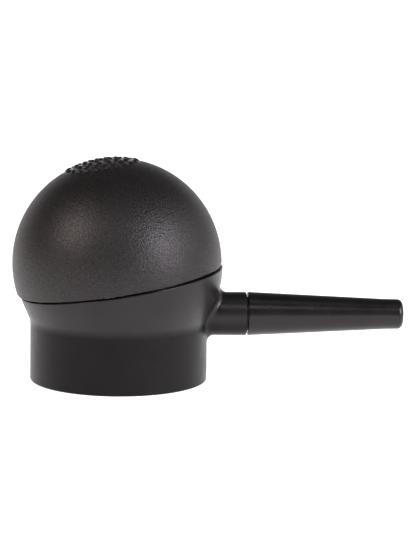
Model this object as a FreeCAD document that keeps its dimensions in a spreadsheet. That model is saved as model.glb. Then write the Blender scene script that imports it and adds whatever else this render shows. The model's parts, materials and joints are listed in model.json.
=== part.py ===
"""Bulb applicator: a rubber squeeze bulb on a slanted seat, a collar that pushes onto a bottle neck,
and a pull-off tapered nozzle on a side spout.

Frame: millimetres, +Z up, origin at the centre of the collar's lower edge. +X points along the nozzle.
The bulb and everything inside it share a second axis, the seat axis, which leans away from the nozzle.
Along that axis, height 0 is the underside of the bulb's flange, and heights are called "level" here.
"""

import FreeCAD
import Part
import Sketcher
import math
import os

from FreeCAD import Placement, Rotation, Vector

SHEET = "dims"

DIMENSIONS = {
    # collar and flare
    "collar_radius": 25.12,
    "collar_edge_round": 0.45,
    "waist_radius": 25.08,
    "waist_height": 17.0,
    "waist_round": 4.0,
    "flare_bend_height": 21.5,
    "flare_level_height": 33.0,
    "flare_radius": 29.3,
    "flare_arc_radius": 29.8,
    # bottle socket and mixing chamber, from below
    "socket_radius": 22.3,
    "socket_depth": 13.0,
    "gasket_groove_radius": 22.75,
    "gasket_groove_top": 14.2,
    "chamber_radius": 20.5,
    # slanted seat
    "seat_tilt": 9.2,
    "seat_x": 0.2,
    "seat_height": 28.5,
    "rim_level": -0.5,
    "rim_edge_round": 0.25,
    "lip_outer_radius": 26.7,
    "mouth_radius": 24.9,
    "lip_bottom_level": -2.0,
    "bead_pocket_radius": 25.9,
    "bead_pocket_level": -3.6,
    "well_radius": 23.4,
    "shelf_level": -4.4,
    "vent_radius": 21.5,
    "floor_level": -6.2,
    "roof_level": -7.8,
    # side spout and spigot
    "spout_height": 18.8,
    "spout_radius": 6.18,
    "spout_end": 36.2,
    "spout_edge_round": 0.2,
    "spout_root_round": 2.0,
    "spigot_radius": 4.75,
    "spigot_end": 45.6,
    "spigot_chamfer": 0.4,
    "spout_bore_radius": 3.4,
    "seal_groove_start": 40.5,
    "seal_groove_width": 1.0,
    "seal_groove_radius": 4.05,
    # nozzle
    "nozzle_start": 36.62,
    "nozzle_end": 81.1,
    "nozzle_root_radius": 6.22,
    "nozzle_land_radius": 4.34,
    "nozzle_tip_radius": 4.27,
    "nozzle_land_start": 76.0,
    "nozzle_tip_round": 1.5,
    "nozzle_socket_radius": 4.8,
    "nozzle_socket_end": 46.2,
    "outlet_radius": 2.5,
    "outlet_start": 73.1,
    "nozzle_inner_radius": 3.4,
    "seal_ring_radius": 4.43,
    "seal_wire_radius": 0.35,
    # bulb
    "bulb_radius": 29.58,
    "bulb_wall": 1.8,
    "bulb_centre_level": 4.83,
    "band_radius": 29.0,
    "band_top_level": 0.7,
    "band_round": 0.35,
    "bulb_split_level": 14.0,
    "crown_gap": 0.02,
    "flange_thickness": 1.8,
    "neck_outer_radius": 24.8,
    "neck_inner_radius": 22.75,
    "neck_bottom_level": -3.4,
    "bead_radius": 25.7,
    "bead_top_level": -2.15,
    "bead_chamfer": 0.5,
    "vent_channel_width": 3.0,
    "vent_channel_depth": 0.8,
    "vent_channel_reach": 27.9,
    "bump_radius": 0.9,
    "bump_sink": 0.42,
    # valve group, on the seat axis
    "plate_radius": 22.7,
    "plate_top_level": -2.8,
    "plate_rim_inner_radius": 21.3,
    "plate_hook_radius": 24.4,
    "plate_hook_top_level": 2.7,
    "boss_radius": 6.0,
    "boss_top_level": 0.4,
    "boss_bottom_level": -5.6,
    "boss_bore_radius": 2.6,
    "disc_seat_level": -2.0,
    "cage_radius": 4.6,
    "spacer_radius": 7.2,
    "spacer_top_level": -1.3,
    "intake_hole_radius": 1.5,
    "intake_circle_radius": 13.0,
    "flap_inner_radius": 7.6,
    "flap_outer_radius": 16.6,
    "flap_thickness": 0.7,
    "valve_rest_gap": 0.02,
    "retainer_radius": 11.0,
    "retainer_thickness": 1.0,
    "disc_radius": 3.9,
    "disc_thickness": 0.8,
    "disc_level": -3.6,
    "jet_hole_radius": 4.1,
    "jet_flange_radius": 6.5,
    "jet_sleeve_radius": 4.55,
    "jet_tube_radius": 4.0,
    "jet_bore_radius": 2.4,
    "jet_bottom_level": -13.8,
    "jet_slot_width": 1.4,
    "jet_slot_depth": 0.8,
    # bottle gasket
    "gasket_inner_radius": 20.6,
    "gasket_outer_radius": 22.65,
}

INTAKE_HOLES = 8
VENT_CHANNELS = 4
JET_SLOTS = 2  # each is cut right across the sleeve, so two make four castles
BUMP_RINGS = ((0.0, 1), (2.5, 6), (4.9, 11), (7.3, 17), (9.75, 22))  # ring radius, bumps in it

doc = FreeCAD.newDocument("bulb_applicator")


def make_sheet():
    """The spreadsheet of driving dimensions, one alias to a row."""
    sheet = doc.addObject("Spreadsheet::Sheet", SHEET)
    for row, (alias, value) in enumerate(DIMENSIONS.items(), start=1):
        sheet.set(f"A{row}", alias)
        sheet.set(f"B{row}", str(value))
        sheet.setAlias(f"B{row}", alias)
    doc.recompute()
    return sheet


def dim(name):
    """A dimension's value as the sheet holds it."""
    return float(doc.getObject(SHEET).get(name))


def cell(name):
    """The expression that reads a dimension."""
    return f"{SHEET}.{name}"


def origin_plane(body, role):
    return next(feature for feature in body.Origin.OriginFeatures if feature.Role == role)


def new_body(name, on_seat=False):
    """A sub-part. One on the seat axis is drawn upright and placed by the seat's height and tilt."""
    body = doc.addObject("PartDesign::Body", name)
    body.Label = name
    if on_seat:
        body.Placement = Placement(Vector(0, 0, 0), Rotation(Vector(0, -1, 0), 1))
        body.setExpression(".Placement.Base.x", cell("seat_x"))
        body.setExpression(".Placement.Base.z", cell("seat_height"))
        body.setExpression(".Placement.Rotation.Angle", cell("seat_tilt"))
    return body


def new_sketch(body, name, role="XZ_Plane"):
    sketch = body.newObject("Sketcher::SketchObject", name)
    sketch.AttachmentSupport = (origin_plane(body, role), [""])
    sketch.MapMode = "FlatFace"
    return sketch


def tilt_sketch_to_seat(sketch):
    """Turns an XZ sketch so that its vertical axis is the seat axis and its origin is at level 0."""
    sketch.AttachmentOffset = Placement(Vector(0, 0, 0), Rotation(Vector(0, 0, 1), 1))
    sketch.setExpression(".AttachmentOffset.Base.x", cell("seat_x"))
    sketch.setExpression(".AttachmentOffset.Base.y", cell("seat_height"))
    sketch.setExpression(".AttachmentOffset.Rotation.Angle", cell("seat_tilt"))


def hold(sketch, kind, geometry, point, name, expression):
    """A named distance from the sketch's origin to a point, or the point on an axis for a distance of 0."""
    if expression == "0":
        axis = -2 if kind == "DistanceX" else -1
        sketch.addConstraint(Sketcher.Constraint("PointOnObject", geometry, point, axis))
        return
    value = float(sketch.evalExpression(expression))
    sketch.addConstraint(Sketcher.Constraint(kind, -1, 1, geometry, point, value))
    name_last_constraint(sketch, name, expression)


def hold_radius(sketch, geometry, expression):
    value = float(sketch.evalExpression(expression))
    sketch.addConstraint(Sketcher.Constraint("Radius", geometry, value))
    name_last_constraint(sketch, f"radius{geometry}", expression)


def name_last_constraint(sketch, name, expression):
    sketch.renameConstraint(sketch.ConstraintCount - 1, name)
    sketch.setExpression(f"Constraints.{name}", expression)


def outline(sketch, corners, arcs=None):
    """A closed outline through corners, each a pair of expressions.

    arcs maps an edge's number to (centre x, centre y, radius); the edge runs from that corner to the next.
    A corner beside an arc has None for the coordinate that the arc settles, which is never negative.
    """
    arcs = arcs or {}
    count = len(corners)
    points = []
    for number, (x, y) in enumerate(corners):
        centre = arcs.get(number) or arcs.get(number - 1) or arcs.get(number - 1 + count)
        if x is None or y is None:
            centre_x, centre_y, radius = (float(sketch.evalExpression(e)) for e in centre)
        if x is None:
            value_y = float(sketch.evalExpression(y))
            value_x = centre_x + math.sqrt(radius**2 - (value_y - centre_y) ** 2)
        elif y is None:
            value_x = float(sketch.evalExpression(x))
            value_y = centre_y + math.sqrt(radius**2 - (value_x - centre_x) ** 2)
        else:
            value_x, value_y = float(sketch.evalExpression(x)), float(sketch.evalExpression(y))
        points.append(Vector(value_x, value_y, 0))
    first = sketch.GeometryCount
    ends = []  # for each edge, the sketcher's numbers of its first and last points
    for number in range(count):
        start, end = points[number], points[(number + 1) % count]
        if number not in arcs:
            sketch.addGeometry(Part.LineSegment(start, end), False)
            ends.append((1, 2))
            continue
        centre_x, centre_y, radius = (float(sketch.evalExpression(e)) for e in arcs[number])
        centre = Vector(centre_x, centre_y, 0)
        anticlockwise = (start - centre).cross(end - centre).z > 0
        angles = [math.atan2(p.y - centre_y, p.x - centre_x) for p in (start, end)]
        low, high = angles if anticlockwise else angles[::-1]
        circle = Part.Circle(centre, Vector(0, 0, 1), radius)
        sketch.addGeometry(Part.ArcOfCircle(circle, low, high), False)
        ends.append((1, 2) if anticlockwise else (2, 1))
    for number in range(count):
        following = (number + 1) % count
        joined = (first + number, ends[number][1], first + following, ends[following][0])
        sketch.addConstraint(Sketcher.Constraint("Coincident", *joined))
    for number, (x, y) in enumerate(corners):
        geometry, point = first + number, ends[number][0]
        if x is not None:
            hold(sketch, "DistanceX", geometry, point, f"x{geometry}", x)
        if y is not None:
            hold(sketch, "DistanceY", geometry, point, f"y{geometry}", y)
    for number, (x, y, radius) in arcs.items():
        geometry = first + number
        hold(sketch, "DistanceX", geometry, 3, f"centre_x{geometry}", x)
        hold(sketch, "DistanceY", geometry, 3, f"centre_y{geometry}", y)
        hold_radius(sketch, geometry, radius)


def box_outline(sketch, left, right, bottom, top):
    """A rectangle between four expressions."""
    outline(sketch, [(left, bottom), (right, bottom), (right, top), (left, top)])


def circle_outline(sketch, x, y, radius):
    """A circle about a point, all three given as expressions."""
    centre = Vector(float(sketch.evalExpression(x)), float(sketch.evalExpression(y)), 0)
    number = sketch.GeometryCount
    value = float(sketch.evalExpression(radius))
    sketch.addGeometry(Part.Circle(centre, Vector(0, 0, 1), value), False)
    hold(sketch, "DistanceX", number, 3, f"x{number}", x)
    hold(sketch, "DistanceY", number, 3, f"y{number}", y)
    hold_radius(sketch, number, radius)


def turn(body, kind, name, sketch, axis="V_Axis"):
    """A full Revolution or Groove of a sketch about one of its own axes."""
    feature = body.newObject(f"PartDesign::{kind}", name)
    feature.Profile = sketch
    feature.ReferenceAxis = (sketch, [axis])
    feature.Angle = 360
    return feature


def cut(body, action):
    """An action that has to take material away, so that an empty cut can't pass unseen."""
    doc.recompute()
    before = body.Shape.Volume
    feature = action()
    doc.recompute()
    if not body.Shape.Volume < before - 0.01:
        raise RuntimeError(f"{feature.Label} removes nothing from {body.Label}")


def round_edges(body, name, radius, wanted):
    """A fillet on the tip's edges that the test picks out."""
    doc.recompute()
    base = body.Tip
    names = [f"Edge{n}" for n, edge in enumerate(base.Shape.Edges, start=1) if wanted(edge)]
    if not names:
        raise RuntimeError(f"{name}: no edge to round")
    fillet = body.newObject("PartDesign::Fillet", name)
    fillet.Base = (base, names)
    fillet.setExpression("Radius", cell(radius))
    doc.recompute()
    return fillet


def middle(edge):
    return edge.valueAt((edge.FirstParameter + edge.LastParameter) / 2)


def seat_coordinates(point):
    """A point's distance from the seat axis and its level along it."""
    tilt = math.radians(dim("seat_tilt"))
    axis = Vector(-math.sin(tilt), 0, math.cos(tilt))
    reach = point - Vector(dim("seat_x"), 0, dim("seat_height"))
    level = reach.dot(axis)
    return (reach - axis * level).Length, level


def spout_axis_sketch(body, name):
    """An XZ sketch whose horizontal axis is the spout's axis."""
    sketch = new_sketch(body, name)
    sketch.AttachmentOffset = Placement(Vector(0, 0, 0), Rotation())
    sketch.setExpression(".AttachmentOffset.Base.y", cell("spout_height"))
    return sketch


def repeat(body, name, features, count):
    """Features repeated all the way round the body's own vertical axis."""
    pattern = body.newObject("PartDesign::PolarPattern", name)
    pattern.Originals = features
    pattern.Axis = (origin_plane(body, "Z_Axis"), [""])
    pattern.Angle = 360
    pattern.Occurrences = count
    body.Tip = pattern
    doc.recompute()
    return pattern


def cut_round(body, name, sketch, width, count):
    """A pocket of the given width centred on an XZ sketch, repeated round the vertical axis."""
    pocket = body.newObject("PartDesign::Pocket", name)
    pocket.Profile = sketch
    pocket.Midplane = True
    pocket.setExpression("Length", cell(width))
    doc.recompute()
    cut(body, lambda: repeat(body, f"{name}s", [pocket], count))


# ---------------------------------------------------------------- the moulded body


def applicator_body():
    """Collar, flare and spout in one moulding, with a slanted partition between bulb and bottle."""
    body = new_body("applicator_body")

    shell = new_sketch(body, "shell_profile")
    blank_top = f"{cell('flare_level_height')} + 4"
    flare_centre = f"{cell('flare_radius')} - {cell('flare_arc_radius')}"
    outline(
        shell,
        [
            ("0", "0"),
            (cell("collar_radius"), "0"),
            (cell("waist_radius"), cell("waist_height")),
            (None, cell("flare_bend_height")),
            (None, cell("flare_level_height")),
            (cell("flare_radius"), blank_top),
            ("0", blank_top),
        ],
        {3: (flare_centre, cell("flare_level_height"), cell("flare_arc_radius"))},
    )
    turn(body, "Revolution", "shell", shell)
    round_edges(body, "waist", "waist_round", is_waist_edge)

    top = new_sketch(body, "rim_cut_profile")
    tilt_sketch_to_seat(top)
    box_outline(top, "0", "45", cell("rim_level"), "20")
    cut(body, lambda: turn(body, "Groove", "rim_cut", top))

    spout = spout_axis_sketch(body, "spout_profile")
    edge = cell("spout_edge_round")
    outline(
        spout,
        [
            ("10", "0"),
            ("10", cell("spout_radius")),
            (f"{cell('spout_end')} - {edge}", cell("spout_radius")),
            (cell("spout_end"), f"{cell('spout_radius')} - {edge}"),
            (cell("spout_end"), cell("spigot_radius")),
            (f"{cell('spigot_end')} - {cell('spigot_chamfer')}", cell("spigot_radius")),
            (cell("spigot_end"), f"{cell('spigot_radius')} - {cell('spigot_chamfer')}"),
            (cell("spigot_end"), "0"),
        ],
    )
    turn(body, "Revolution", "spout", spout, "H_Axis")
    round_edges(body, "spout_root", "spout_root_round", is_spout_root)
    round_edges(body, "collar_edge", "collar_edge_round", is_collar_edge)
    round_edges(body, "rim_edge", "rim_edge_round", is_rim_edge)

    lip = new_sketch(body, "lip_profile")
    tilt_sketch_to_seat(lip)
    box_outline(lip, "20", cell("lip_outer_radius"), "-2", "0")
    turn(body, "Revolution", "lip", lip)

    socket = new_sketch(body, "socket_profile")
    outline(
        socket,
        [
            ("0", "-1"),
            (cell("socket_radius"), "-1"),
            (cell("socket_radius"), cell("socket_depth")),
            (cell("gasket_groove_radius"), cell("socket_depth")),
            (cell("gasket_groove_radius"), cell("gasket_groove_top")),
            ("0", cell("gasket_groove_top")),
        ],
    )
    cut(body, lambda: turn(body, "Groove", "socket", socket))

    roof = body.newObject("PartDesign::Plane", "chamber_roof")
    roof.AttachmentSupport = (origin_plane(body, "XY_Plane"), [""])
    roof.MapMode = "FlatFace"
    roof.AttachmentOffset = Placement(Vector(0, 0, 0), Rotation(Vector(0, -1, 0), 1))
    tilt = f"{cell('seat_tilt')} * 1 deg"
    roof_x = f"{cell('seat_x')} - {cell('roof_level')} * sin({tilt})"
    roof_z = f"{cell('seat_height')} + {cell('roof_level')} * cos({tilt})"
    roof.setExpression(".AttachmentOffset.Base.x", roof_x)
    roof.setExpression(".AttachmentOffset.Base.z", roof_z)
    roof.setExpression(".AttachmentOffset.Rotation.Angle", cell("seat_tilt"))
    chamber = new_sketch(body, "chamber_circle", "XY_Plane")
    chamber.setExpression(".AttachmentOffset.Base.z", cell("gasket_groove_top"))
    circle_outline(chamber, "0", "0", cell("chamber_radius"))
    doc.recompute()
    cut(body, lambda: pocket_up_to(body, "chamber", chamber, roof))

    cavity = new_sketch(body, "cavity_profile")
    tilt_sketch_to_seat(cavity)
    outline(
        cavity,
        [
            ("0", f"{cell('roof_level')} - 1"),
            (cell("jet_hole_radius"), f"{cell('roof_level')} - 1"),
            (cell("jet_hole_radius"), cell("floor_level")),
            (cell("vent_radius"), cell("floor_level")),
            (cell("vent_radius"), cell("shelf_level")),
            (cell("well_radius"), cell("shelf_level")),
            (cell("well_radius"), cell("bead_pocket_level")),
            (cell("bead_pocket_radius"), cell("bead_pocket_level")),
            (cell("bead_pocket_radius"), cell("lip_bottom_level")),
            (cell("mouth_radius"), cell("lip_bottom_level")),
            (cell("mouth_radius"), "1"),
            ("0", "1"),
        ],
    )
    cut(body, lambda: turn(body, "Groove", "cavity", cavity))

    bore = spout_axis_sketch(body, "spout_bore_profile")
    box_outline(bore, "15", f"{cell('spigot_end')} + 1", "0", cell("spout_bore_radius"))
    cut(body, lambda: turn(body, "Groove", "spout_bore", bore, "H_Axis"))

    groove = spout_axis_sketch(body, "seal_groove_profile")
    groove_end = f"{cell('seal_groove_start')} + {cell('seal_groove_width')}"
    groove_top = f"{cell('spigot_radius')} + 1"
    box_outline(groove, cell("seal_groove_start"), groove_end, cell("seal_groove_radius"), groove_top)
    cut(body, lambda: turn(body, "Groove", "seal_groove", groove, "H_Axis"))
    return body


def pocket_up_to(body, name, sketch, face):
    """A pocket that runs upwards from its sketch until it meets a plane."""
    pocket = body.newObject("PartDesign::Pocket", name)
    pocket.Profile = sketch
    pocket.Reversed = True
    pocket.Type = "UpToFace"
    pocket.UpToFace = (face, [""])
    return pocket


def is_waist_edge(edge):
    """The ring where the flare leaves the collar."""
    on_waist = abs(middle(edge).z - dim("waist_height")) < 0.01
    return on_waist and edge.BoundBox.XLength > dim("waist_radius")


def is_spout_root(edge):
    """The line where the spout meets the flare and collar."""
    point = middle(edge)
    from_axis = math.hypot(point.y, point.z - dim("spout_height"))
    on_spout = abs(from_axis - dim("spout_radius")) < 0.02
    across = edge.BoundBox.YLength + edge.BoundBox.ZLength > 0.5
    return on_spout and across and point.x < dim("spout_end") - 2


def is_collar_edge(edge):
    """The outer ring of the collar's foot."""
    return abs(middle(edge).z) < 0.01 and edge.BoundBox.XLength > dim("collar_radius")


def is_rim_edge(edge):
    """The sharp outer ring of the flare's slanted top."""
    ends = [seat_coordinates(edge.valueAt(p))[1] for p in (edge.FirstParameter, edge.LastParameter)]
    levels = [*ends, seat_coordinates(middle(edge))[1]]
    return all(abs(level - dim("rim_level")) < 0.02 for level in levels)


# ---------------------------------------------------------------- the nozzle and its seal


def nozzle():
    """The pull-off tapered nozzle, which slides over the spout's spigot."""
    body = new_body("nozzle")
    profile = spout_axis_sketch(body, "nozzle_profile")
    outline(
        profile,
        [
            (cell("nozzle_start"), cell("nozzle_socket_radius")),
            (cell("nozzle_start"), cell("nozzle_root_radius")),
            (cell("nozzle_land_start"), cell("nozzle_land_radius")),
            (cell("nozzle_end"), cell("nozzle_tip_radius")),
            (cell("nozzle_end"), cell("outlet_radius")),
            (cell("outlet_start"), cell("outlet_radius")),
            (cell("nozzle_socket_end"), cell("nozzle_inner_radius")),
            (cell("nozzle_socket_end"), cell("nozzle_socket_radius")),
        ],
    )
    turn(body, "Revolution", "taper", profile, "H_Axis")
    round_edges(body, "root_edge", "spout_edge_round", is_nozzle_root_edge)
    round_edges(body, "tip_edge", "nozzle_tip_round", is_nozzle_tip_edge)
    return body


def from_spout_axis(point):
    return math.hypot(point.y, point.z - dim("spout_height"))


def is_nozzle_root_edge(edge):
    point = middle(edge)
    at_start = abs(point.x - dim("nozzle_start")) < 0.01
    return at_start and abs(from_spout_axis(point) - dim("nozzle_root_radius")) < 0.01


def is_nozzle_tip_edge(edge):
    point = middle(edge)
    at_end = abs(point.x - dim("nozzle_end")) < 0.01
    return at_end and abs(from_spout_axis(point) - dim("nozzle_tip_radius")) < 0.01


def nozzle_seal():
    """The O-ring in the spigot's groove, on which the nozzle turns."""
    body = new_body("nozzle_seal")
    profile = spout_axis_sketch(body, "seal_profile")
    middle_x = f"{cell('seal_groove_start')} + {cell('seal_groove_width')} / 2"
    circle_outline(profile, middle_x, cell("seal_ring_radius"), cell("seal_wire_radius"))
    turn(body, "Revolution", "ring", profile, "H_Axis")
    return body


# ---------------------------------------------------------------- the bulb


def bulb_wall():
    """The bulb below its crown: side wall, flange and the beaded neck that snaps into the seat."""
    body = new_body("bulb_wall", on_seat=True)
    centre = cell("bulb_centre_level")
    outer = ("0", centre, cell("bulb_radius"))
    inner = ("0", centre, f"{cell('bulb_radius')} - {cell('bulb_wall')}")
    bead_corner = f"{cell('bead_radius')} - {cell('bead_chamfer')}"
    bead_side = f"{cell('neck_bottom_level')} + {cell('bead_chamfer')}"
    profile = new_sketch(body, "wall_profile")
    outline(
        profile,
        [
            (cell("neck_inner_radius"), cell("neck_bottom_level")),
            (bead_corner, cell("neck_bottom_level")),
            (cell("bead_radius"), bead_side),
            (cell("bead_radius"), cell("bead_top_level")),
            (cell("neck_outer_radius"), cell("bead_top_level")),
            (cell("neck_outer_radius"), "0"),
            (cell("band_radius"), "0"),
            (cell("band_radius"), cell("band_top_level")),
            (None, cell("band_top_level")),
            (None, cell("bulb_split_level")),
            (None, cell("bulb_split_level")),
            (None, cell("flange_thickness")),
            (cell("neck_inner_radius"), cell("flange_thickness")),
        ],
        arcs={8: outer, 10: inner},
    )
    turn(body, "Revolution", "wall", profile)
    round_edges(body, "band_edge", "band_round", is_band_edge)

    channel = new_sketch(body, "vent_channel_profile")
    channel_bottom = f"{cell('neck_bottom_level')} - 1"
    box_outline(
        channel,
        f"{cell('neck_outer_radius')} - {cell('vent_channel_depth')}",
        cell("vent_channel_reach"),
        channel_bottom,
        cell("vent_channel_depth"),
    )
    cut_round(body, "vent_channel", channel, "vent_channel_width", VENT_CHANNELS)
    return body


def is_band_edge(edge):
    """The lower outer ring of the thin band at the bulb's foot."""
    point = middle(edge)
    return abs(point.z) < 0.01 and math.hypot(point.x, point.y) > dim("band_radius") - 0.01


def bulb_crown():
    """The bulb's crown, which a thumb pushes in, with its grip bumps."""
    body = new_body("bulb_crown", on_seat=True)
    centre = cell("bulb_centre_level")
    start = f"{cell('bulb_split_level')} + {cell('crown_gap')}"
    profile = new_sketch(body, "crown_profile")
    outline(
        profile,
        [(None, start), ("0", None), ("0", None), (None, start)],
        arcs={
            0: ("0", centre, cell("bulb_radius")),
            2: ("0", centre, f"{cell('bulb_radius')} - {cell('bulb_wall')}"),
        },
    )
    turn(body, "Revolution", "crown", profile)
    for number, (ring_radius, count) in enumerate(BUMP_RINGS):
        bump = body.newObject("PartDesign::AdditiveSphere", f"bump_{number}")
        bump.setExpression("Radius", cell("bump_radius"))
        reach = f"({cell('bulb_radius')} - {cell('bump_sink')})"
        lean = f"asin({ring_radius} / {cell('bulb_radius')})"
        bump.setExpression(".Placement.Base.x", f"{reach} * sin({lean})")
        bump.setExpression(".Placement.Base.z", f"{centre} + {reach} * cos({lean})")
        doc.recompute()
        if count > 1:
            repeat(body, f"bumps_{number}", [bump], count)
    return body


# ---------------------------------------------------------------- the valve group


def valve_plate():
    """The stiff plate that clamps the bulb's neck and carries both valves."""
    body = new_body("valve_plate", on_seat=True)
    profile = new_sketch(body, "plate_profile")
    outline(
        profile,
        [
            (cell("boss_bore_radius"), cell("boss_top_level")),
            (cell("boss_radius"), cell("boss_top_level")),
            (cell("boss_radius"), cell("spacer_top_level")),
            (cell("spacer_radius"), cell("spacer_top_level")),
            (cell("spacer_radius"), cell("plate_top_level")),
            (cell("plate_rim_inner_radius"), cell("plate_top_level")),
            (cell("plate_rim_inner_radius"), cell("plate_hook_top_level")),
            (cell("plate_hook_radius"), cell("plate_hook_top_level")),
            (cell("plate_hook_radius"), cell("flange_thickness")),
            (cell("plate_radius"), cell("flange_thickness")),
            (cell("plate_radius"), cell("shelf_level")),
            (cell("boss_radius"), cell("shelf_level")),
            (cell("boss_radius"), cell("boss_bottom_level")),
            (cell("cage_radius"), cell("boss_bottom_level")),
            (cell("cage_radius"), cell("disc_seat_level")),
            (cell("boss_bore_radius"), cell("disc_seat_level")),
        ],
    )
    turn(body, "Revolution", "plate", profile)

    hole = new_sketch(body, "intake_hole_circle", "XY_Plane")
    circle_outline(hole, cell("intake_circle_radius"), "0", cell("intake_hole_radius"))
    holes = body.newObject("PartDesign::Pocket", "intake_hole")
    holes.Profile = hole
    holes.Type = "ThroughAll"
    holes.Midplane = True
    doc.recompute()
    repeat(body, "intake_holes", [holes], INTAKE_HOLES)

    notch = new_sketch(body, "vent_notch_profile")
    notch_top = f"{cell('shelf_level')} + {cell('vent_channel_depth')}"
    notch_bottom = f"{cell('shelf_level')} - 1"
    notch_end = f"{cell('plate_radius')} + 1"
    box_outline(notch, f"{cell('vent_radius')} - 1", notch_end, notch_bottom, notch_top)
    cut_round(body, "vent_notch", notch, "vent_channel_width", VENT_CHANNELS)
    return body


def ring_on_seat(name, inner, outer, bottom, top):
    """A flat ring or disc about the seat axis, between four expressions."""
    body = new_body(name, on_seat=True)
    profile = new_sketch(body, f"{name}_profile")
    box_outline(profile, inner, outer, bottom, top)
    turn(body, "Revolution", f"{name}_ring", profile)
    return body


def flap_retainer():
    """The ring on the boss that stops the intake flap's lift."""
    bottom = cell("spacer_top_level")
    top = f"{bottom} + {cell('retainer_thickness')}"
    inner = f"{cell('boss_radius')} + 0.02"
    return ring_on_seat("flap_retainer", inner, cell("retainer_radius"), bottom, top)


def intake_flap():
    """The loose silicone ring that covers the intake holes."""
    bottom = f"{cell('plate_top_level')} + {cell('valve_rest_gap')}"
    top = f"{cell('plate_top_level')} + {cell('flap_thickness')}"
    inner, outer = cell("flap_inner_radius"), cell("flap_outer_radius")
    return ring_on_seat("intake_flap", inner, outer, bottom, top)


def discharge_disc():
    """The loose disc that closes the boss's bore when the bulb draws in air."""
    bottom = f"{cell('disc_level')} + {cell('valve_rest_gap')}"
    top = f"{cell('disc_level')} + {cell('disc_thickness')}"
    return ring_on_seat("discharge_disc", "0", cell("disc_radius"), bottom, top)


def jet_tube():
    """The tube through the partition, with a castellated top that the discharge disc rests on."""
    body = new_body("jet_tube", on_seat=True)
    profile = new_sketch(body, "jet_profile")
    outline(
        profile,
        [
            (cell("jet_bore_radius"), cell("jet_bottom_level")),
            (cell("jet_tube_radius"), cell("jet_bottom_level")),
            (cell("jet_tube_radius"), cell("floor_level")),
            (cell("jet_flange_radius"), cell("floor_level")),
            (cell("jet_flange_radius"), cell("boss_bottom_level")),
            (cell("jet_sleeve_radius"), cell("boss_bottom_level")),
            (cell("jet_sleeve_radius"), cell("disc_level")),
            (cell("jet_bore_radius"), cell("disc_level")),
        ],
    )
    turn(body, "Revolution", "tube", profile)
    slot = new_sketch(body, "jet_slot_profile")
    slot_bottom = f"{cell('disc_level')} - {cell('jet_slot_depth')}"
    slot_top = f"{cell('disc_level')} + 1"
    slot_end = f"{cell('jet_sleeve_radius')} + 1"
    box_outline(slot, "0", slot_end, slot_bottom, slot_top)
    cut_round(body, "jet_slot", slot, "jet_slot_width", JET_SLOTS)
    return body


def bottle_gasket():
    """The flat ring above the socket that the bottle's mouth seals against."""
    body = new_body("bottle_gasket")
    profile = new_sketch(body, "gasket_profile")
    inner, outer = cell("gasket_inner_radius"), cell("gasket_outer_radius")
    box_outline(profile, inner, outer, cell("socket_depth"), cell("gasket_groove_top"))
    turn(body, "Revolution", "gasket_ring", profile)
    return body


# ---------------------------------------------------------------- build, check and write


def check(bodies):
    """Every object recomputes cleanly and every sub-part is one valid solid."""
    for item in doc.Objects:
        if "Invalid" in item.State or "Error" in item.State:
            raise RuntimeError(f"{item.Label} did not recompute: {item.State}")
    for body in bodies:
        shape = body.Shape
        if shape.isNull() or not shape.isValid() or len(shape.Solids) != 1:
            raise RuntimeError(f"{body.Label} is not one valid solid")


make_sheet()
parts = [
    applicator_body(),
    bulb_wall(),
    bulb_crown(),
    valve_plate(),
    flap_retainer(),
    intake_flap(),
    discharge_disc(),
    jet_tube(),
    bottle_gasket(),
    nozzle_seal(),
    nozzle(),
]
doc.recompute()
check(parts)
os.makedirs("parts", exist_ok=True)
for part in parts:
    part.Shape.exportStep(f"parts/{part.Label}.step")
    print(f"{part.Label}: {part.Shape.Volume / 1000:.3f} cm3")
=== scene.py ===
"""Looks for a bulb powder applicator: a black rubber bulb on a satin plastic body with a pull-off nozzle.

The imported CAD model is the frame. Everything is in metres, +Z up, with the nozzle along +X.
"""

import json
import math

import bpy
from mathutils import Matrix, Vector, noise


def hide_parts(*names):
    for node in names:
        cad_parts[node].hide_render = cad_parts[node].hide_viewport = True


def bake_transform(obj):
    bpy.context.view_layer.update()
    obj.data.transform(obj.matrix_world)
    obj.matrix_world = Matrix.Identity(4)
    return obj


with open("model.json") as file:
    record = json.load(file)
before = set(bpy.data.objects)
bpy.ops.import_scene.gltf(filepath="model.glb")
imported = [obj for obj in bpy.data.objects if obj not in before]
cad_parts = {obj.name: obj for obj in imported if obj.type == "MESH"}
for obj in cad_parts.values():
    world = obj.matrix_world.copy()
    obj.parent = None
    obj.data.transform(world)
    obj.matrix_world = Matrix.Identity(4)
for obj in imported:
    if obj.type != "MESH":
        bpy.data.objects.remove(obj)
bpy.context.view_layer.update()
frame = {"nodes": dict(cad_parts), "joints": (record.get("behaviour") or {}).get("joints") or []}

MM = 0.001

# ---------------------------------------------------------------- the bulb's own axis

SEAT = Vector((0.2, 0, 28.5)) * MM  # where the bulb's axis crosses the underside of its flange
squeeze = next(joint for joint in frame["joints"] if joint["name"] == "bulb_squeeze")
UP = -Vector(squeeze["axis"]).normalized()
SIDE = Vector((UP.z, 0, -UP.x))
ACROSS = Vector((0, 1, 0))


def on_seat(radius, level, angle):
    """A point by its distance from the bulb's axis, its height along it and its angle round it."""
    return SEAT + UP * level + (SIDE * math.cos(angle) + ACROSS * math.sin(angle)) * radius


# ---------------------------------------------------------------- the bulb

BULB_RADIUS = 29.58 * MM
BULB_WALL = 1.8 * MM
BULB_CENTRE = 4.83 * MM  # the sphere's centre, as a height along the axis
FLANGE = 1.8 * MM

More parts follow.
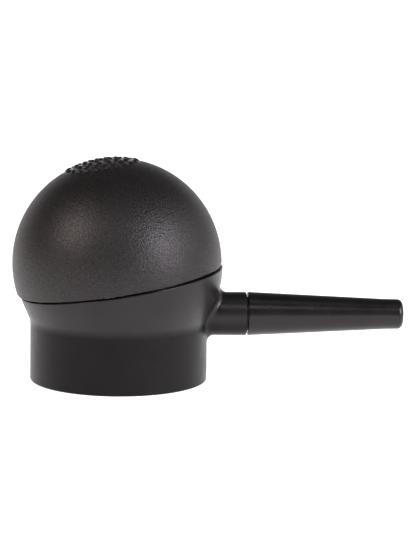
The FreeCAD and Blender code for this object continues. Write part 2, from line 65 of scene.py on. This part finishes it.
# The thin band at the bulb's foot, and the neck below it as (radius, height) in mm.
BAND_RADIUS = 29.0 * MM
BAND_TOP = 0.7 * MM
BAND_ROUND = 0.35 * MM
BAND_TURN = 0.04 * MM  # the small turn where the skin runs into the band
BAND_SIDE = 0.10 * MM  # how far below the band's top its upright side starts
NECK = (
    (27.9, 0), (26.8, 0), (24.8, 0), (24.8, -2.15), (25.7, -2.15),
    (25.7, -2.9), (25.2, -3.4), (22.75, -3.4), (22.75, 1.8),
)  # fmt: skip

# The grip bumps on the crown. Each is a dome with a low skirt, whose edges are in bump radii.
BUMP_RINGS = ((0.0, 1), (2.5, 6), (4.9, 11), (7.3, 17), (9.75, 22))  # ring radius in mm, bumps in it
BUMP_RADIUS = 0.9 * MM
BUMP_SINK = 0.42 * MM
SKIRT_HEIGHT = 0.07 * MM
SKIRT_INNER, SKIRT_OUTER = 0.85, 1.35
BUMPED = 0.92  # cosine of the lean that the bumps stay within

# Moulding flash left on the band: where round the bulb and how far each way in degrees, and its depth in mm.
FLASH = ((-94, 7, 0.22), (-19, 9, 0.30), (-140, 4, 0.10), (60, 8, 0.2), (165, 6, 0.2))
FLASH_GRAIN = 34  # size of the ragged edge, as noise over a circle of radius 1
FLASH_FADE = 0.6  # share of each stretch that has its full depth

# The mesh: rings are close over the crown, so that the bumps keep their shape.
SEGMENTS = 384
CROWN_REACH = 11.0 * MM  # how far the close rings go, along the surface from the crown's middle
CROWN_RINGS, SIDE_RINGS, LIP_RINGS, INNER_RINGS = 84, 52, 6, 24
SHARP_EDGE = math.radians(55)


def smooth_step(low, high, value):
    """0 up to the low number, 1 from the high one, and smooth between them."""
    share = min(max((value - low) / (high - low), 0.0), 1.0)
    return share * share * (3 - 2 * share)


def bump_centres():
    """Each bump's direction from the sphere's centre, as (sideways, across, up)."""
    centres = []
    for ring_radius, count in BUMP_RINGS:
        lean = math.asin(ring_radius * MM / BULB_RADIUS)
        flat = math.sin(lean)
        for number in range(count):
            turn = 2 * math.pi * number / count
            centres.append(Vector((flat * math.cos(turn), flat * math.sin(turn), math.cos(lean))))
    return centres


BUMPS = bump_centres()


def bump_height(direction):
    """How far the surface stands out in a direction from the sphere's centre."""
    nearest = min((direction - centre).length for centre in BUMPS) * BULB_RADIUS
    inner, outer = SKIRT_INNER * BUMP_RADIUS, SKIRT_OUTER * BUMP_RADIUS
    if nearest > outer:
        return 0.0
    dome = math.sqrt(max(BUMP_RADIUS**2 - nearest**2, 0.0)) - BUMP_SINK
    skirt = SKIRT_HEIGHT * (1 - smooth_step(inner, outer, nearest))
    return max(dome, skirt)


def flash_at(angle):
    """How far the ragged flash hangs below the band at an angle round the bulb."""
    place = Vector((math.cos(angle), math.sin(angle), 0))
    ragged = smooth_step(0.25, 0.7, 0.5 + 0.5 * noise.noise(place * FLASH_GRAIN))
    depth = 0.0
    for middle, reach, hang in FLASH:
        away = abs((math.degrees(angle) - middle + 180) % 360 - 180)
        depth += hang * MM * (1 - smooth_step(FLASH_FADE * reach, reach, away)) * ragged
    return depth


def bulb_profile():
    """The bulb's closed section as (radius, height, kind), from the crown down the outside and up inside."""
    points = []
    crown_lean = CROWN_REACH / BULB_RADIUS
    last_lean = math.pi / 2 + math.asin((BULB_CENTRE - BAND_TOP) / BULB_RADIUS)
    leans = [crown_lean * number / CROWN_RINGS for number in range(1, CROWN_RINGS + 1)]
    leans += [
        crown_lean + (last_lean - crown_lean) * number / SIDE_RINGS
        for number in range(1, SIDE_RINGS + 1)
    ]
    for lean in leans:
        height = BULB_CENTRE + BULB_RADIUS * math.cos(lean)
        points.append((BULB_RADIUS * math.sin(lean), height, "skin"))
    points.append((BAND_RADIUS + BAND_TURN, BAND_TOP - BAND_TURN, "band"))
    points.append((BAND_RADIUS, BAND_TOP - BAND_SIDE, "band"))
    for number in range(LIP_RINGS + 1):
        turn = -math.pi / 2 * number / LIP_RINGS
        radius = BAND_RADIUS - BAND_ROUND + BAND_ROUND * math.cos(turn)
        points.append((radius, BAND_ROUND + BAND_ROUND * math.sin(turn), "lip"))
    points += [(radius * MM, height * MM, "neck") for radius, height in NECK]
    inner = BULB_RADIUS - BULB_WALL
    first = math.acos((FLANGE - BULB_CENTRE) / inner)
    for number in range(INNER_RINGS):
        lean = first * (1 - number / INNER_RINGS)
        points.append((inner * math.sin(lean), BULB_CENTRE + inner * math.cos(lean), "inside"))
    return points


def bulb_point(radius, height, kind, angle):
    """A point of the profile turned to an angle, raised by its bump or lowered by its flash."""
    if kind == "skin":
        direction = Vector((
            radius * math.cos(angle), radius * math.sin(angle), height - BULB_CENTRE
        )) / BULB_RADIUS  # fmt: skip
        if direction.z > BUMPED:
            stretch = 1 + bump_height(direction) / BULB_RADIUS
            radius *= stretch
            height = BULB_CENTRE + (height - BULB_CENTRE) * stretch
    elif kind == "lip":
        height -= flash_at(angle) * max(1 - height / BAND_ROUND, 0)
    return on_seat(radius, height, angle)


def make_bulb():
    """The whole rubber bulb as one closed skin, with its grip bumps and its lip."""
    points = bulb_profile()
    pole_height = BULB_CENTRE + BULB_RADIUS
    vertices = [SEAT + UP * (pole_height + bump_height(Vector((0, 0, 1))))]
    for point in points:
        for number in range(SEGMENTS):
            vertices.append(bulb_point(*point, 2 * math.pi * number / SEGMENTS))
    vertices.append(SEAT + UP * (pole_height - BULB_WALL))
    faces = []
    last = 1 + (len(points) - 1) * SEGMENTS
    for number in range(SEGMENTS):
        after = (number + 1) % SEGMENTS
        faces.append((0, 1 + number, 1 + after))
        for top in range(1, last, SEGMENTS):
            bottom = top + SEGMENTS
            faces.append((top + number, bottom + number, bottom + after, top + after))
        faces.append((last + number, len(vertices) - 1, last + after))
    mesh = bpy.data.meshes.new("rubber_bulb")
    mesh.from_pydata(vertices, [], faces)
    mesh.polygons.foreach_set("use_smooth", [True] * len(mesh.polygons))
    mesh.set_sharp_from_angle(angle=SHARP_EDGE)
    bulb = bpy.data.objects.new("rubber_bulb", mesh)
    bpy.context.scene.collection.objects.link(bulb)
    return bulb


# ---------------------------------------------------------------- materials

GLOSS_TINT = (1.0, 0.90, 0.935, 1)  # every material reflects a little warmer than grey
# Between these two heights the collar's specular level drops and its colour is darkened as painted shade,
# down to the share given below.
COLLAR_DULL_AND_SHADED_BELOW, COLLAR_SHINY_AND_UNSHADED_ABOVE = 15.6 * MM, 18.2 * MM
COLLAR_SPECULAR, COLLAR_PAINTED_SHADE = 0.17, 0.55
PATCH_INSIDE, PATCH_OUTSIDE = 10.4 * MM, 11.6 * MM  # the glossier patch round the crown's bumps
PATCH_ROUGHNESS, PATCH_SPECULAR = 0.24, 0.75


def grey(level):
    return (level, level, level)


def colour_socket(sockets, name):
    """A mix node's colour socket: its other sockets of that name are for numbers and vectors."""
    return next(socket for socket in sockets if socket.name == name and socket.type == "RGBA")


class Shader:
    """A material's node tree, with short calls for the nodes used here."""

    def __init__(self, name):
        self.material = bpy.data.materials.new(name)
        self.material.use_nodes = True
        self.nodes = self.material.node_tree.nodes
        self.links = self.material.node_tree.links
        self.surface = self.nodes["Principled BSDF"]
        self.surface.inputs["Specular Tint"].default_value = GLOSS_TINT
        self.place = self.nodes.new("ShaderNodeTexCoord").outputs["Object"]

    def noise(self, size, detail=2.0, roughness=0.5):
        """Noise with features of about this size in metres."""
        texture = self.nodes.new("ShaderNodeTexNoise")
        texture.inputs["Scale"].default_value = 1 / size
        texture.inputs["Detail"].default_value = detail
        texture.inputs["Roughness"].default_value = roughness
        self.links.new(self.place, texture.inputs["Vector"])
        return texture.outputs["Fac"]

    def ramp(self, value, stops):
        """Two colours along a value: stops are (position, colour)."""
        ramp = self.nodes.new("ShaderNodeValToRGB")
        for element, (position, colour) in zip(ramp.color_ramp.elements, stops):
            element.position = position
            element.color = (*colour, 1)
        self.links.new(value, ramp.inputs["Fac"])
        return ramp.outputs["Color"]

    def remap(self, value, low, high, from_low=0.3, from_high=0.7):
        """A value spread between two numbers."""
        node = self.nodes.new("ShaderNodeMapRange")
        node.inputs["From Min"].default_value = from_low
        node.inputs["From Max"].default_value = from_high
        node.inputs["To Min"].default_value = low
        node.inputs["To Max"].default_value = high
        self.links.new(value, node.inputs["Value"])
        return node.outputs["Result"]

    def blend(self, kind, factor, one, two):
        """Two colours mixed or multiplied. Each is a tuple or another node's output."""
        node = self.nodes.new("ShaderNodeMix")
        node.data_type = "RGBA"
        node.blend_type = kind
        if isinstance(factor, float):
            node.inputs["Factor"].default_value = factor
        else:
            self.links.new(factor, node.inputs["Factor"])
        for name, value in (("A", one), ("B", two)):
            socket = colour_socket(node.inputs, name)
            if isinstance(value, tuple):
                socket.default_value = (*value, 1)
            else:
                self.links.new(value, socket)
        return colour_socket(node.outputs, "Result")

    def bump(self, height, strength, distance, below=None):
        """A normal from a height, laid over another normal if there is one below it."""
        node = self.nodes.new("ShaderNodeBump")
        node.inputs["Strength"].default_value = strength
        node.inputs["Distance"].default_value = distance
        self.links.new(height, node.inputs["Height"])
        if below is not None:
            self.links.new(below, node.inputs["Normal"])
        return node.outputs["Normal"]

    def link(self, output, socket):
        """Joins an output to one of the surface's sockets."""
        self.links.new(output, self.surface.inputs[socket])


def satin_plastic(name, dark, light, roughness=(0.30, 0.38), specular=0.5, collar=False):
    """Moulded plastic: faint flow mottling, a fine spark-eroded grain, and sharp edges made paler as rubbed
    wear and a painted edge highlight.
    """
    shader = Shader(name)
    mottle = shader.noise(9 * MM, detail=3)
    grain = shader.noise(0.22 * MM)
    colour = shader.ramp(mottle, [(0.35, dark), (0.68, light)])
    # Sharp edges are painted paler: partly rubbed wear, partly a painted edge highlight.
    edge = shader.nodes.new("ShaderNodeNewGeometry").outputs["Pointiness"]
    rubbed_and_highlit = shader.remap(edge, 0.0, 0.55, 0.53, 0.60)
    worn_and_highlight = tuple(min(channel * 1.9 + 0.004, 1) for channel in light)
    colour = shader.blend("MIX", rubbed_and_highlit, colour, worn_and_highlight)
    shader.link(colour, "Base Color")
    shader.link(shader.remap(shader.noise(4 * MM, detail=4), *roughness), "Roughness")
    wave = shader.bump(shader.noise(14 * MM, detail=1), 0.10, 0.10 * MM)
    shader.link(shader.bump(grain, 0.10, 0.02 * MM, below=wave), "Normal")
    shader.surface.inputs["Specular IOR Level"].default_value = specular
    if collar:  # the straight collar has a duller finish than the flare above it, and its colour is darkened towards its foot as painted shade
        place = shader.nodes.new("ShaderNodeSeparateXYZ")
        shader.links.new(shader.place, place.inputs["Vector"])
        span = (COLLAR_DULL_AND_SHADED_BELOW, COLLAR_SHINY_AND_UNSHADED_ABOVE)
        sheen = shader.remap(place.outputs["Z"], COLLAR_SPECULAR, specular, *span)
        shader.link(sheen, "Specular IOR Level")
        # painted shade: the collar's colour is darkened below the flare
        painted_shade = shader.remap(place.outputs["Z"], COLLAR_PAINTED_SHADE, 1.0, *span)
        shader.link(shader.blend("MULTIPLY", 1.0, colour, painted_shade), "Base Color")
    return shader.material


def bulb_rubber(name):
    """Matte black rubber with a fine even grain, paler specks and a glossier patch on the crown."""
    shader = Shader(name)
    speck = shader.noise(0.45 * MM, detail=3, roughness=0.6)
    cloud = shader.noise(11 * MM, detail=3)
    dark, light = (0.0042, 0.0038, 0.0038), (0.0105, 0.0097, 0.0096)
    colour = shader.ramp(speck, [(0.36, dark), (0.70, light)])
    bloom = shader.ramp(cloud, [(0.35, grey(0.86)), (0.7, (1.12, 1.11, 1.09))])
    shader.link(shader.blend("MULTIPLY", 1.0, colour, bloom), "Base Color")
    crown = shader.nodes.new("ShaderNodeVectorMath")
    crown.operation = "DISTANCE"
    crown.inputs[1].default_value = SEAT + UP * (BULB_CENTRE + BULB_RADIUS)
    shader.links.new(shader.place, crown.inputs[0])
    away = shader.remap(crown.outputs["Value"], 0.0, 1.0, PATCH_INSIDE, PATCH_OUTSIDE)
    matte = shader.remap(speck, 0.36, 0.50)
    shader.link(shader.blend("MIX", away, grey(PATCH_ROUGHNESS), matte), "Roughness")
    grain = shader.noise(0.55 * MM, roughness=0.6)
    shader.link(shader.bump(grain, 0.8, 0.18 * MM), "Normal")
    glint = shader.remap(shader.noise(0.42 * MM), 0.32, 0.54, 0.32, 0.68)
    shader.link(shader.blend("MIX", away, grey(PATCH_SPECULAR), glint), "Specular IOR Level")
    return shader.material


def soft_rubber(name, dark, light, scatter=0.0):
    """Smooth silicone or gasket rubber with faint clouds in its colour."""
    shader = Shader(name)
    clouds = shader.noise(3 * MM, detail=3)
    shader.link(shader.ramp(clouds, [(0.35, dark), (0.65, light)]), "Base Color")
    shader.link(shader.remap(shader.noise(1.2 * MM, detail=3), 0.38, 0.5), "Roughness")
    shader.link(shader.bump(shader.noise(0.3 * MM), 0.12, 0.03 * MM), "Normal")
    shader.surface.inputs["Subsurface Weight"].default_value = scatter
    shader.surface.inputs["Subsurface Radius"].default_value = grey(1 * MM)
    return shader.material


BODY = satin_plastic(
    "body_plastic", (0.0048, 0.0044, 0.0046), (0.0078, 0.0072, 0.0075), specular=0.36, collar=True
)
NOZZLE = satin_plastic(
    "nozzle_plastic", (0.0058, 0.0054, 0.0055), (0.0090, 0.0084, 0.0086), (0.22, 0.28), 0.36
)
RUBBER = bulb_rubber("bulb_rubber")
VALVE = satin_plastic("valve_plastic", (0.56, 0.56, 0.54), (0.66, 0.66, 0.64), (0.35, 0.48))
SILICONE = soft_rubber("silicone", (0.46, 0.46, 0.44), (0.60, 0.60, 0.57), scatter=0.3)
GASKET = soft_rubber("gasket_rubber", (0.020, 0.020, 0.020), (0.034, 0.033, 0.032))

for node, material in {
    "applicator_body": BODY,
    "nozzle": NOZZLE,
    "valve_plate": VALVE,
    "flap_retainer": VALVE,
    "jet_tube": VALVE,
    "intake_flap": SILICONE,
    "discharge_disc": SILICONE,
    "bottle_gasket": GASKET,
    "nozzle_seal": GASKET,
}.items():
    for slot in frame["nodes"][node].material_slots:
        slot.material = material

# The bulb is built as one mesh in place of the CAD bulb_wall and bulb_crown, which are hidden.
bulb = make_bulb()
bulb.data.materials.append(RUBBER)
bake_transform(bulb)
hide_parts("bulb_wall", "bulb_crown")

# ---------------------------------------------------------------- studio

FLOOR_REACH = 30.0
FLOOR_DROP = 0.05 * MM  # keeps the floor clear of the collar's bottom face

CAMERA_PLACE = Vector((-8.5, -536.0, 114.2)) * MM
CAMERA_TURN, CAMERA_DIP, CAMERA_ROLL = 3.6, 9.0, 0.83
CAMERA_LENS = 124.15

# Name, azimuth, elevation, distance, width, height, radiance, colour.
SOFTBOXES = (
    ("left_softbox", -58, 36, 0.9, 0.36, 0.38, 9.5, (1.0, 0.94, 0.86)),
    ("right_softbox", 54, 23, 0.9, 0.36, 0.50, 13.0, (0.94, 0.96, 1.0)),
    ("front_softbox", 4, 44, 0.9, 0.30, 0.16, 5.0, (1, 1, 1)),
    ("side_fill", 94, 24, 0.9, 0.50, 0.45, 1.6, (0.97, 0.98, 1.0)),
    ("top_softbox", 20, 75, 1.0, 0.4, 0.3, 0.6, (1, 1, 1)),
)


def make_floor():
    """A plain pale table, lit from within a little so that it stays white under the black part."""
    mesh = bpy.data.meshes.new("floor")
    corners = [(x * FLOOR_REACH, y * FLOOR_REACH, 0) for x, y in ((-1, -1), (1, -1), (1, 1), (-1, 1))]
    mesh.from_pydata(corners, [], [(0, 1, 2, 3)])
    floor = bpy.data.objects.new("floor", mesh)
    floor.location.z = -FLOOR_DROP
    bpy.context.scene.collection.objects.link(floor)
    material = bpy.data.materials.new("floor")
    material.use_nodes = True
    surface = material.node_tree.nodes["Principled BSDF"]
    for socket, value in {
        "Roughness": 0.9,
        "Specular IOR Level": 0.1,
        "Base Color": (0.75, 0.75, 0.75, 1),
        "Emission Strength": 1.0,
        "Emission Color": (1, 1, 1, 1),
    }.items():
        surface.inputs[socket].default_value = value
    mesh.materials.append(material)


def make_world():
    """A white room: dim overhead, dimmer in front of the part than behind it, and warm on the left."""
    world = bpy.data.worlds.new("studio")
    bpy.context.scene.world = world
    world.use_nodes = True
    nodes, links = world.node_tree.nodes, world.node_tree.links
    split = nodes.new("ShaderNodeSeparateXYZ")
    links.new(nodes.new("ShaderNodeTexCoord").outputs["Generated"], split.inputs["Vector"])

    def spread(axis, from_low, from_high, low, high):
        """A number that changes smoothly along one axis of the direction looked in."""
        node = nodes.new("ShaderNodeMapRange")
        node.interpolation_type = "SMOOTHSTEP"
        numbers = {"From Min": from_low, "From Max": from_high, "To Min": low, "To Max": high}
        for name, number in numbers.items():
            node.inputs[name].default_value = number
        links.new(split.outputs[axis], node.inputs["Value"])
        return node.outputs["Result"]

    strength = nodes.new("ShaderNodeMath")
    strength.operation = "MULTIPLY"
    links.new(spread("Z", 0.16, 0.45, 1.0, 0.16), strength.inputs[0])
    links.new(spread("Y", 0.25, 0.95, 0.27, 1.0), strength.inputs[1])
    links.new(strength.outputs["Value"], nodes["Background"].inputs["Strength"])
    tint = nodes.new("ShaderNodeMix")
    tint.data_type = "RGBA"
    links.new(spread("X", -0.95, -0.35, 0.0, 1.0), tint.inputs["Factor"])
    colour_socket(tint.inputs, "A").default_value = (1.0, 0.80, 0.70, 1)
    colour_socket(tint.inputs, "B").default_value = (1.0, 0.98, 1.0, 1)
    links.new(colour_socket(tint.outputs, "Result"), nodes["Background"].inputs["Color"])


def make_softbox(name, azimuth, elevation, distance, width, height, radiance, colour):
    """A rectangular light that faces the part. Azimuth 0 is in front, and grows towards the nozzle."""
    light = bpy.data.lights.new(name, "AREA")
    light.shape = "RECTANGLE"
    light.size, light.size_y = width, height
    light.energy = radiance * math.pi * width * height
    light.color = colour
    lamp = bpy.data.objects.new(name, light)
    target = Vector((0, 0, 0.03))
    a, e = math.radians(azimuth), math.radians(elevation)
    towards = Vector((math.sin(a) * math.cos(e), -math.cos(a) * math.cos(e), math.sin(e)))
    lamp.location = target + towards * distance
    lamp.rotation_euler = towards.to_track_quat("Z", "Y").to_euler()
    bpy.context.scene.collection.objects.link(lamp)


def make_camera():
    """A long lens from the front, a little above the part, turned so that the nozzle points slightly away."""
    turn, dip, roll = (math.radians(angle) for angle in (CAMERA_TURN, CAMERA_DIP, CAMERA_ROLL))
    forward = Vector((
        math.sin(turn) * math.cos(dip), math.cos(turn) * math.cos(dip), -math.sin(dip)
    ))  # fmt: skip
    level_right = forward.cross(Vector((0, 0, 1))).normalized()
    level_up = level_right.cross(forward)
    right = level_right * math.cos(roll) + level_up * math.sin(roll)
    facing = Matrix((right, right.cross(forward), -forward)).transposed().to_4x4()
    data = bpy.data.cameras.new("camera")
    data.lens = CAMERA_LENS
    data.clip_start, data.clip_end = 0.01, 100
    camera = bpy.data.objects.new("camera", data)
    camera.matrix_world = Matrix.Translation(CAMERA_PLACE) @ facing
    bpy.context.scene.collection.objects.link(camera)
    bpy.context.scene.camera = camera


make_floor()
make_world()
for softbox in SOFTBOXES:
    make_softbox(*softbox)
make_camera()
bpy.context.scene.view_settings.view_transform = "Standard"
